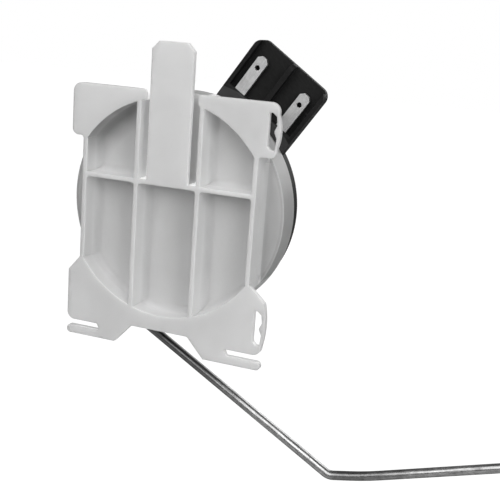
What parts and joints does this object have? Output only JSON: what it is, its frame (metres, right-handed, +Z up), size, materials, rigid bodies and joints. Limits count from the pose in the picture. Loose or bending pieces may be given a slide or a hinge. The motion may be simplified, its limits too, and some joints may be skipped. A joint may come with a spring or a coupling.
{
  "type": "fuel level sender",
  "caption": "Fuel level sender: pale clip-in carrier, black connector base with blade terminals, and a pivoting wire float arm.",
  "frame": {"origin": "where the arm's pivot axis crosses the front plane of the carrier's plate", "axes": "+Z up along the latch tongue, +X to the right seen from the front, +Y from the front plate towards the float arm"},
  "size_m": [0.1512, 0.044, 0.1045],
  "materials": {
    "carrier_acetal": "satin natural acetal, slightly translucent",
    "base_black": "satin black glass-filled moulding",
    "holder_black": "satin black acetal",
    "rotor_white": "satin natural acetal",
    "washer_white": "plain fluoropolymer",
    "terminal_tin": "tin-plated brass strip, dull",
    "bush_brass": "turned brass",
    "rivet_brass": "headed brass",
    "card_ceramic": "fired alumina, matte white",
    "resistor_ink": "fired thick-film resistor ink",
    "contact_silver": "silver alloy",
    "arm_steel": "drawn spring steel wire with tool marks",
    "spring_steel": "stainless spring strip",
    "float_foam": "closed-cell nitrile foam with a moulded skin"
  },
  "bodies": {
    "housing": {"carrier": "carrier_acetal", "connector_base": "base_black", "terminal_upper": "terminal_tin", "terminal_lower": "terminal_tin", "shaft_bushing": "bush_brass", "resistor_card": "card_ceramic", "resistor_track": "resistor_ink", "contact_track": "contact_silver", "card_rivet_upper": "rivet_brass", "card_rivet_lower": "rivet_brass"},
    "arm": {"arm_holder": "holder_black", "thrust_washer": "washer_white", "float_arm": "arm_steel", "wiper_rotor": "rotor_white", "wiper_leaf": "spring_steel", "contact_button_outer": "contact_silver", "contact_button_inner": "contact_silver", "retaining_clip": "spring_steel", "float_washer_inner": "washer_white", "float_washer_outer": "washer_white", "float_clip": "spring_steel"},
    "float_body": {"float": "float_foam"}
  },
  "joints": [
    {"name": "arm_pivot", "type": "hinge", "parent": "housing", "child": "arm", "pos_m": [0, 0, 0], "axis": [0, -1, 0], "range_deg": [0, 70]},
    {"name": "float_pivot", "type": "hinge", "parent": "arm", "child": "float_body", "pos_m": [0.10507, 0.0335, -0.04441], "axis": [0, 1, 0], "continuous": true}
  ]
}
